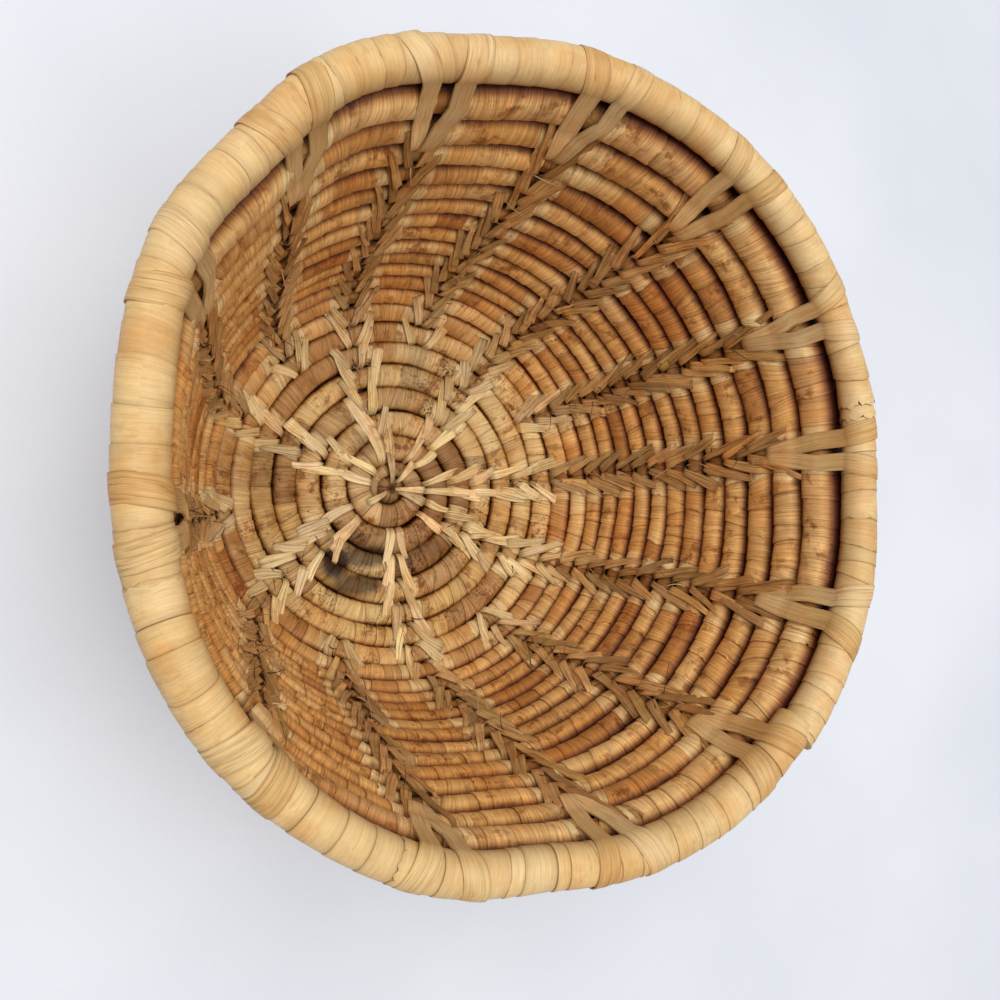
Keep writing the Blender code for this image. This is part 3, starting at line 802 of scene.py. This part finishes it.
def loose_fibre(weave, index, number):
    """Thin fibre that has come loose beside a stitch."""
    azimuth = float(stitch_azimuth(index, number))
    along = numbered_along(number + rng.uniform(0.1, 0.9), azimuth)
    lift = seat(number + 0.5, azimuth) + 0.3 * MM
    aside = rng.uniform(-2.6, 2.6) * MM
    (start,), (normal,) = surface_path(azimuth, np.array([aside]), np.array([along]), np.array([lift]))
    up_wall = unit(place(azimuth, along + MM, lift) - place(azimuth, along, lift))
    lean = up_wall * rng.normal(0.5, 0.6) + normal * rng.uniform(0.15, 0.6) + rng.normal(0, 0.4, 3)
    t = np.linspace(0, 1, LOOSE_POINTS)[:, None]
    reach = rng.uniform(2.0, 6.0) * MM
    points = start + unit(lean) * reach * t + rng.normal(0, 0.4, 3) * reach * t ** 2
    normals = np.tile(unit(np.cross(lean, (0.3, 0.5, 0.8))), (LOOSE_POINTS, 1))
    colour = linear(LOOSE_DARK if rng.random() < 0.45 else LOOSE_PALE) * rng.uniform(0.8, 1.1)
    halves = rng.uniform(0.08, 0.24) * (1 - 0.7 * t[:, 0]) * MM
    ribbon(weave, points, normals, halves, 0.1 * MM, colour, curl=0.0, pointed=True)


def stitch_numbers(index):
    limit = TOP_ALONG - LASHING_FOOT
    azimuth = STITCH_AZIMUTHS[index]
    return [number for number in range(STITCH_FIRST_ROWS[index], COIL_ROWS)
            if numbered_along(number + 1.7, azimuth) < limit]


def inner_stitches(index, material):
    weave = Weave()
    for number in stitch_numbers(index):
        for side in rng.permutation((-1, 1)):
            barb(weave, index, number, side)
        if rng.random() < EXTRA_ARM_CHANCE:
            barb(weave, index, number + rng.uniform(0.3, 0.5), rng.choice((-1, 1)))
        for _ in range(rng.integers(1, 4)):
            loose_fibre(weave, index, number)
    weave.build("v_stitches_%02d" % (index + 1), material, ["stitch_row_%02d" % (index + 1)])


def outer_stitches(index, material):
    """The stitches' outer side: one slanted strip over each row."""
    weave = Weave()
    t = np.linspace(0, 1, OUTER_POINTS)
    for number in range(OUTER_LOWEST_ROW, COIL_ROWS):
        azimuth = float(stitch_azimuth(index, number))
        numbers = number - 0.12 + 1.2 * t
        asides = (-1.3 + 2.6 * t) * MM * rng.uniform(0.7, 1.2)
        dive = ((1 - smooth(0.0, 0.15, t)) + smooth(0.85, 1.0, t)) * 1.8 * MM
        lifts = dive - seat(numbers, azimuth) - 0.3 * MM
        points, normals = surface_path(azimuth, asides, numbered_along(numbers, azimuth), lifts)
        halves = rng.uniform(1.3, 1.8) * MM * (0.7 + 0.3 * np.sin(np.pi * t))
        ribbon(weave, points, -normals, halves, 0.4 * MM, stitch_colour(number),
               twist=rng.uniform(-0.1, 0.1))
    name = "outer_stitches_%02d" % (index + 1)
    weave.build(name, material, ["outer_stitch_row_%02d" % (index + 1)])


def rim_path(azimuth, asides, angles, lift):
    """Points and normals round the rim: angle 180 is its foot on the wall, 90 its inner side, 0 its top."""
    turned = azimuth + np.degrees(asides / radius_at(RIM_ALONG))
    wrapped = (turned - RIM_JOINT_AZIMUTH) % TURN + RIM_JOINT_AZIMUTH
    size, along, middle = [np.interp(wrapped, RIM["azimuth"], RIM[key]) for key in ("size", "along", "lift")]
    up, inward = squarish(np.radians(angles), RIM_FULLNESS)
    reach = size + lift
    points = place(turned, along, middle + reach * inward, reach * up)
    return points, unit(points - place(turned, along, middle))


# The angles round the rim, as in rim_path, between which a lashing lies on it
LASHING_ANGLES = (110, -148)


def lashing(index, material):
    """Two broad strips that leave the last V, cross the top row and wrap round the rim."""
    weave = Weave()
    azimuth = float(STITCH_AZIMUTHS[index])
    last = stitch_numbers(index)[-1]
    start = numbered_along(last + 0.75, azimuth)
    t = np.linspace(0, 1, LASHING_POINTS)
    alongs = start + (TOP_ALONG - 3.2 * MM - start) * t
    crease_numbers = np.arange(2, COIL_ROWS + 1)
    numbers = np.interp(alongs, numbered_along(crease_numbers, azimuth), crease_numbers)
    for side in (-1, 1):
        spread = rng.uniform(2.6, 4.4) * MM
        crossing = rng.random() < 0.3
        sway = 1 - 1.7 * crossing * t * (1 - t)
        asides = side * blend(0.6 * MM, spread, t) * sway + rng.uniform(-0.7, 0.7) * MM
        lifts = np.maximum(seat(numbers, azimuth), 3.0 * MM) + (0.55 + 0.35 * (side > 0)) * MM
        lifts = lifts - (1 - smooth(0.0, 0.12, t)) * 2.2 * MM
        low_points, low_normals = surface_path(azimuth, asides, alongs, lifts)
        share = np.linspace(0, 1, LASHING_RIM_POINTS)
        flare = asides[-1] + side * rng.uniform(1.6, 3.8) * MM * np.minimum(share * 2.0, 1)
        proud = (0.3 - 0.22 * smooth(0.1, 0.5, share)) * MM
        high_points, high_normals = rim_path(azimuth, flare, blend(*LASHING_ANGLES, share), proud)
        points = np.concatenate([low_points, high_points])
        s = np.linspace(0, 1, len(points))
        halves = rng.uniform(1.9, 2.5) * MM * (0.7 + 0.3 * smooth(0, 0.2, s) + 0.25 * smooth(0.3, 0.5, s))
        thickness = (0.42 - 0.2 * smooth(0.3, 0.5, s))[:, None, None] * MM
        colour = linear(LASHING) * rng.uniform(0.8, 1.15)
        pale = linear(RIM_STRIPS[rng.integers(len(RIM_STRIPS))])
        colour = blend(colour, pale, smooth(0.12, 0.4, s)[:, None, None])
        normals = np.concatenate([low_normals, high_normals])
        ribbon(weave, points, normals, halves, thickness, colour, curl=0.06)
    weave.build("rim_strips_%02d" % (index + 1), material, ["rim_lashing_%02d" % (index + 1)])


def knot_strip(weave, azimuth, aside, start, length):
    """Strip end that runs out from the hole in the knot over the coil's first turn."""
    t = np.linspace(0, 1, KNOT_STRIP_POINTS)
    reach = start + length * t
    turn = -np.radians(azimuth) + np.arctan2(aside * (0.25 + 0.75 * t), reach)
    height = KNOT_HEIGHT + 0.55 * MM + 0.9 * MM * smooth(0.1, 0.6, t)
    height = height - (1 - smooth(0, 0.2, t)) * 1.6 * MM - smooth(0.85, 1.0, t) * 0.9 * MM
    points = np.stack([reach * np.cos(turn), reach * np.sin(turn), height], -1)
    normals = np.tile((0.0, 0.0, 1.0), (len(t), 1))
    halves = rng.uniform(0.8, 1.5) * MM * (0.5 + 0.5 * smooth(0, 0.8, t))
    colour = linear(STITCH_FLOOR) * rng.uniform(0.6, 1.05)
    ribbon(weave, points, normals, halves, 0.35 * MM, colour, curl=0.1, twist=rng.uniform(-0.25, 0.25))


def knot(material):
    """Start of the coil: a small dome with a hole, and the first stitches that run out of it."""
    weave = Weave()
    share = np.linspace(0.05, 1, DOME_RINGS)[:, None]
    wrap = np.floor(KNOT_WRAPS * (PHI / (2 * np.pi) + 0.03 * np.sin(2 * PHI)))
    new_wrap = wrap != np.roll(wrap, 1)
    reach = 1.12 * KNOT_RADIUS * share * (1 + 0.08 * np.sin(3 * PHI))
    height = KNOT_HEIGHT * np.sqrt(1 - (0.93 * share) ** 2) - 2.6 * MM * hump(share, 0, 0.3)
    height = height - 0.3 * MM * new_wrap
    dome = np.stack(np.broadcast_arrays(reach * np.cos(PHI), reach * np.sin(PHI), height), -1)
    points = np.concatenate([dome, dome[-1:] * (1, 1, 0)])
    uv = np.stack(np.meshgrid(np.arange(TUBE_SIDES + 1) * 0.8, np.arange(len(points)) * 0.5), -1)
    # Painted shade towards the hole in the knot's middle; the seams between wraps are dark too, partly
    # painted shade
    dark = hump(np.linspace(0, 1, len(points))[:, None], 0, 0.3)
    tints = rng.uniform(0.7, 1.15, KNOT_WRAPS + 1)[wrap.astype(int), None]
    weave.tube(points, uv, linear(KNOT_BROWN) * tints, np.maximum(dark, 0.9 * new_wrap), 0.5)
    for index in range(0, len(STITCH_AZIMUTHS), 2):
        azimuth = float(stitch_azimuth(index, 1))
        if index not in KNOT_BARE:
            knot_strip(weave, azimuth + rng.uniform(-18, 18), rng.uniform(-2.2, 2.2) * MM,
                       rng.uniform(0.8, 2.6) * MM, rng.uniform(5.5, 10.0) * MM)
        for number in range(1, STITCH_FIRST_ROWS[index]):
            for side in rng.permutation((-1, 1)):
                barb(weave, index, number, side)
    weave.build("knot", material, ["start_knot"])


def stitches():
    stitch_fibre = fibre_material("stitch_fibre", streak=0.3, spots=0.25, hair=0.7, fine=1.3)
    outer_fibre = fibre_material("outer_stitch_fibre", streak=0.26, spots=0.25, hair=0.6, fine=1.3)
    lashing_fibre = fibre_material("lashing_fibre", streak=0.16, spots=0.1, hair=0.4, fine=1.1,
                                   edge_dark_and_shade=0.7, roughness=0.55)
    for index in range(len(STITCH_AZIMUTHS)):
        inner_stitches(index, stitch_fibre)
        outer_stitches(index, outer_fibre)
        lashing(index, lashing_fibre)


def ground_material():
    """Plain pale ground under the basket, with soft shade and a fine grain."""
    tree = Tree("pale_ground")
    body = tree.add("ShaderNodeTexCoord", {})[OBJECT_PLACE]
    shade = tree.remap(tree.noise(body, 6.0, 3.0, 0.5), 0.3, 0.7, 0.0, 1.0)
    colour = tree.mix(shade, (*linear(GROUND_DIM), 1), (*linear(GROUND_LIGHT), 1))
    tree.set(tree.shader.inputs["Base Color"], colour)
    tree.shader.inputs["Roughness"].default_value = 0.95
    tree.shader.inputs["Specular IOR Level"].default_value = 0.1
    grain = tree.noise(body, 900.0, 1.0)
    bump = tree.add("ShaderNodeBump", {}, Strength=0.2, Distance=0.0004, Height=grain)[0]
    tree.set(tree.shader.inputs["Normal"], bump)
    return tree.material


def stage():
    """The ground, the sky's light and the lamps."""
    reach = 3.0
    mesh = bpy.data.meshes.new("floor")
    corners = [(-reach, -reach, 0), (reach, -reach, 0), (reach, reach, 0), (-reach, reach, 0)]
    mesh.from_pydata(corners, [], [(0, 1, 2, 3)])
    mesh.materials.append(ground_material())
    floor = bpy.data.objects.new("floor", mesh)
    floor.location.z = -GROUND_DROP
    bpy.context.scene.collection.objects.link(floor)
    world = bpy.data.worlds.new("studio")
    bpy.context.scene.world = world
    world.use_nodes = True
    sky = world.node_tree.nodes["Background"]
    sky.inputs["Color"].default_value = SKY
    sky.inputs["Strength"].default_value = WORLD_LIGHT
    for name, spot, size, power, colour in LAMPS:
        lamp = bpy.data.lights.new(name, "AREA")
        lamp.shape = "DISK"
        lamp.size = size
        lamp.energy = power
        lamp.color = colour
        item = bpy.data.objects.new(name, lamp)
        item.location = spot
        item.rotation_euler = Vector(spot).to_track_quat("Z", "Y").to_euler()
        bpy.context.scene.collection.objects.link(item)


def camera():
    data = bpy.data.cameras.new("camera")
    data.lens = CAMERA_LENS
    data.sensor_width = 36.0
    data.clip_start = 0.01
    look = Vector(CAMERA_LOOK).normalized()
    right = look.cross(Vector(CAMERA_UP)).normalized()
    turn = Matrix((right, right.cross(look), -look)).transposed()
    item = bpy.data.objects.new("camera", data)
    item.matrix_world = Matrix.Translation(CAMERA_PLACE) @ turn.to_4x4()
    bpy.context.scene.collection.objects.link(item)
    bpy.context.scene.camera = item


bpy.context.scene.view_settings.view_transform = "Standard"
camera()
stage()
coils()
rim()
knot(fibre_material("knot_fibre", streak=0.25, spots=0.4, hair=0.6, fine=1.2))
stitches()
